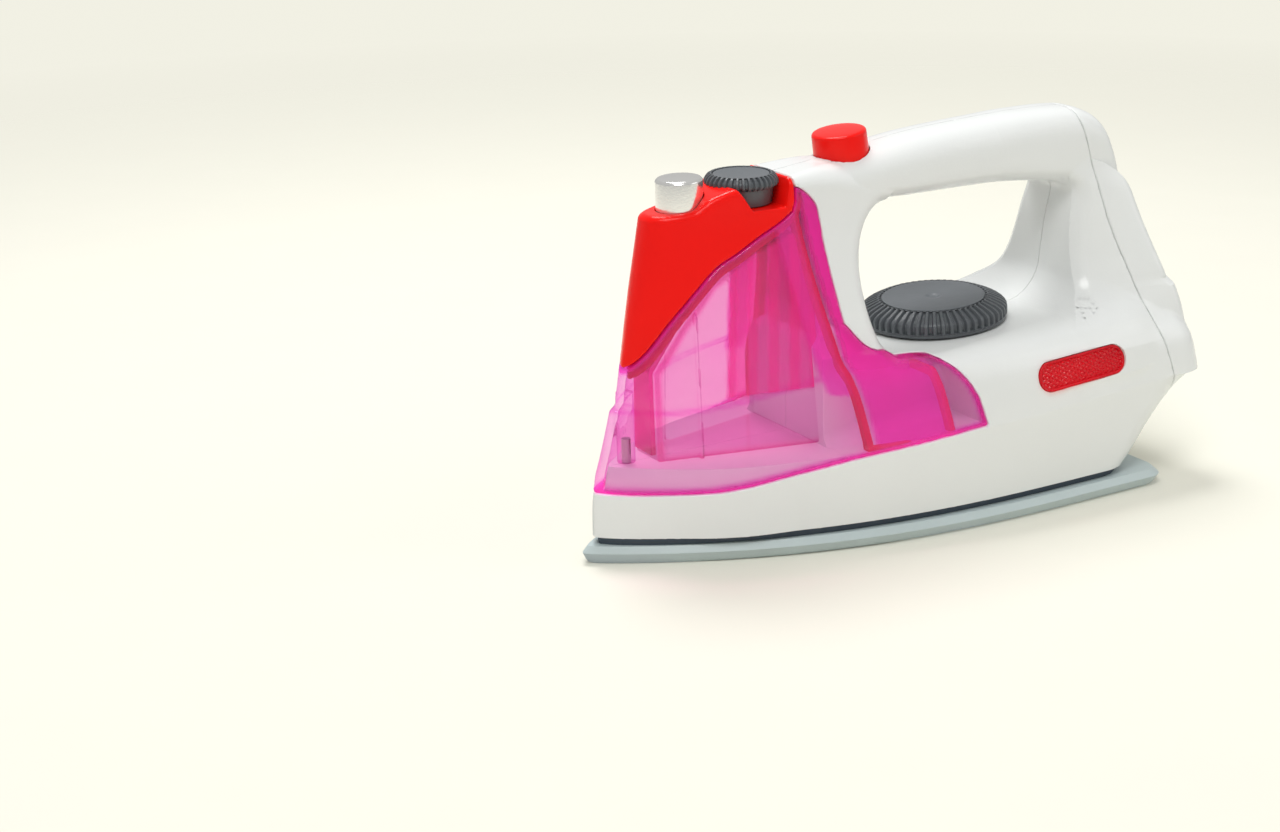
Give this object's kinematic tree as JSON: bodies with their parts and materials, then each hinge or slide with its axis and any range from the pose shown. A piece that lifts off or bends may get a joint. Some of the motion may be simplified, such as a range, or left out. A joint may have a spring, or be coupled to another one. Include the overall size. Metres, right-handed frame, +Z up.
{
  "type": "toy iron",
  "caption": "Toy steam iron: white body with loop handle on a flat grey soleplate, clear pink tank, red cowl, turning dials and sprung push buttons.",
  "frame": {"origin": "on the table, under the middle of the whole iron", "axes": "+X from the nose to the heel, +Z up, +Y to the right side of an iron that points away from its user"},
  "size_m": [0.2, 0.0884, 0.117],
  "materials": {
    "white_body": "glossy moulded white plastic",
    "grey_sole": "satin grey plastic",
    "dark_strip": "satin dark grey plastic",
    "pink_clear": "clear pink plastic",
    "red_gloss": "glossy red plastic",
    "silver_button": "bright plated plastic",
    "grey_dial": "satin dark grey plastic",
    "grey_disc": "satin grey plastic",
    "red_clear": "clear red plastic",
    "inner_plastic": "plain moulded plastic",
    "black_plastic": "black plastic",
    "green_board": "green coated board",
    "spring_steel": "bright spring wire",
    "screw_steel": "zinc plated",
    "cell_jacket": "plain printed jacket"
  },
  "bodies": {
    "iron": {"soleplate": "grey_sole", "sole_gasket": "dark_strip", "body_left": "white_body", "body_right": "white_body", "rear_cover": "white_body", "water_tank": "pink_clear", "inner_reservoir": "pink_clear", "front_cowl": "red_gloss", "spray_spring": "spring_steel", "spray_guide": "inner_plastic", "steam_dial_bush": "inner_plastic", "handle_button_spring": "spring_steel", "handle_button_guide": "inner_plastic", "handle_switch": "black_plastic", "inner_frame": "inner_plastic", "detent_spring": "spring_steel", "circuit_board": "green_board", "board_chips": "black_plastic", "lamps": "red_clear", "window_left": "red_clear", "window_right": "red_clear", "speaker_basket": "black_plastic", "speaker_magnet": "screw_steel", "battery_box": "inner_plastic", "battery_cells": "cell_jacket", "battery_contacts": "spring_steel", "battery_door": "grey_sole", "battery_door_screw": "screw_steel", "sole_screws": "screw_steel", "body_screws": "screw_steel", "tank_screw": "screw_steel"},
    "spray_cap": {"spray_button": "silver_button"},
    "handle_cap": {"handle_button": "red_gloss"},
    "dial": {"temperature_dial": "grey_dial", "temperature_dial_disc": "grey_disc", "dial_retainer": "screw_steel", "dial_screw": "screw_steel"},
    "small_dial": {"steam_dial": "grey_dial", "steam_dial_disc": "grey_disc", "steam_dial_screw": "screw_steel"}
  },
  "joints": [
    {"name": "spray_press", "type": "slide", "parent": "iron", "child": "spray_cap", "axis": [0, 0, -1], "range_m": [0, 0.004], "stiffness_N_per_m": 150, "springref_m": -0.003, "deforming": ["spray_spring"]},
    {"name": "handle_press", "type": "slide", "parent": "iron", "child": "handle_cap", "axis": [0.1392, 0, -0.9903], "range_m": [0, 0.0025], "stiffness_N_per_m": 200, "springref_m": -0.003, "deforming": ["handle_button_spring"]},
    {"name": "temperature_turn", "type": "hinge", "parent": "iron", "child": "dial", "pos_m": [0.0237, 0, 0.05291], "axis": [-0.0523, 0, 0.9986], "continuous": true},
    {"name": "steam_turn", "type": "hinge", "parent": "iron", "child": "small_dial", "pos_m": [-0.045, 0, 0.09867], "axis": [0, 0, 1], "continuous": true}
  ]
}
